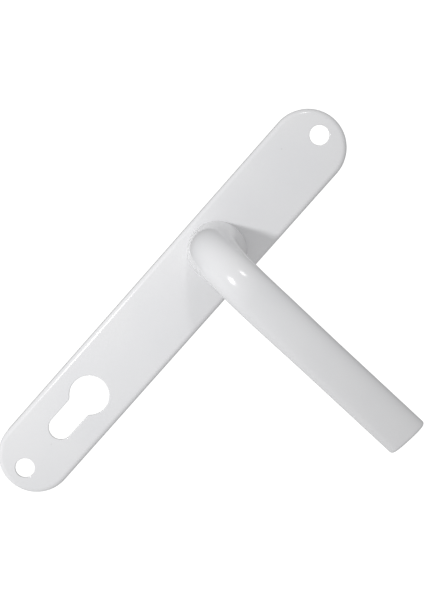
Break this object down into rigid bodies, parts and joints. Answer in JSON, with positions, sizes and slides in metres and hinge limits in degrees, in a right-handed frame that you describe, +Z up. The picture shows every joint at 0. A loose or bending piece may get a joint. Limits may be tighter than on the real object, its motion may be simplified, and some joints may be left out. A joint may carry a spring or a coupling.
{
  "type": "door lever handle on euro-profile backplate",
  "caption": "White lever handle on a long narrow round-ended backplate with a euro-profile cut-out, a sprung lever and a square spindle.",
  "frame": {"origin": "on the spindle's axis, in the plane of the door's face that the backplate lies on", "axes": "+Z up along the backplate, +X along the lever's grip, +Y into the door along the spindle"},
  "size_m": [0.1244, 0.113, 0.2138],
  "materials": {
    "white_enamel": "semi-gloss white powder coat",
    "grey_nylon": "moulded, satin",
    "white_acetal": "moulded, smooth",
    "zinc_plated_steel": "bright zinc plate",
    "spring_steel": "dark oiled spring steel",
    "black_oxide_steel": "black oxide"
  },
  "bodies": {
    "backplate": {"cover_plate": "white_enamel", "support_frame": "grey_nylon", "bearing_bush": "white_acetal", "housing_cover": "zinc_plated_steel", "cover_screw_1": "zinc_plated_steel", "cover_screw_2": "zinc_plated_steel", "cover_screw_3": "zinc_plated_steel", "cover_screw_4": "zinc_plated_steel", "frame_stud_upper": "zinc_plated_steel", "frame_stud_lower": "zinc_plated_steel", "push_nut_upper": "spring_steel", "push_nut_lower": "spring_steel", "return_spring": "spring_steel"},
    "lever": {"lever_handle": "white_enamel", "square_spindle": "zinc_plated_steel", "grub_screw": "black_oxide_steel", "cam_plate": "zinc_plated_steel", "thrust_washer": "zinc_plated_steel", "wave_washer": "spring_steel", "circlip": "spring_steel"}
  },
  "joints": [
    {"name": "lever_turn", "type": "hinge", "parent": "backplate", "child": "lever", "pos_m": [0, 0, 0], "axis": [0, 1, 0], "range_deg": [0, 45], "stiffness_Nm_per_rad": 0.5, "springref_deg": -40.11, "deforming": ["return_spring"]}
  ]
}
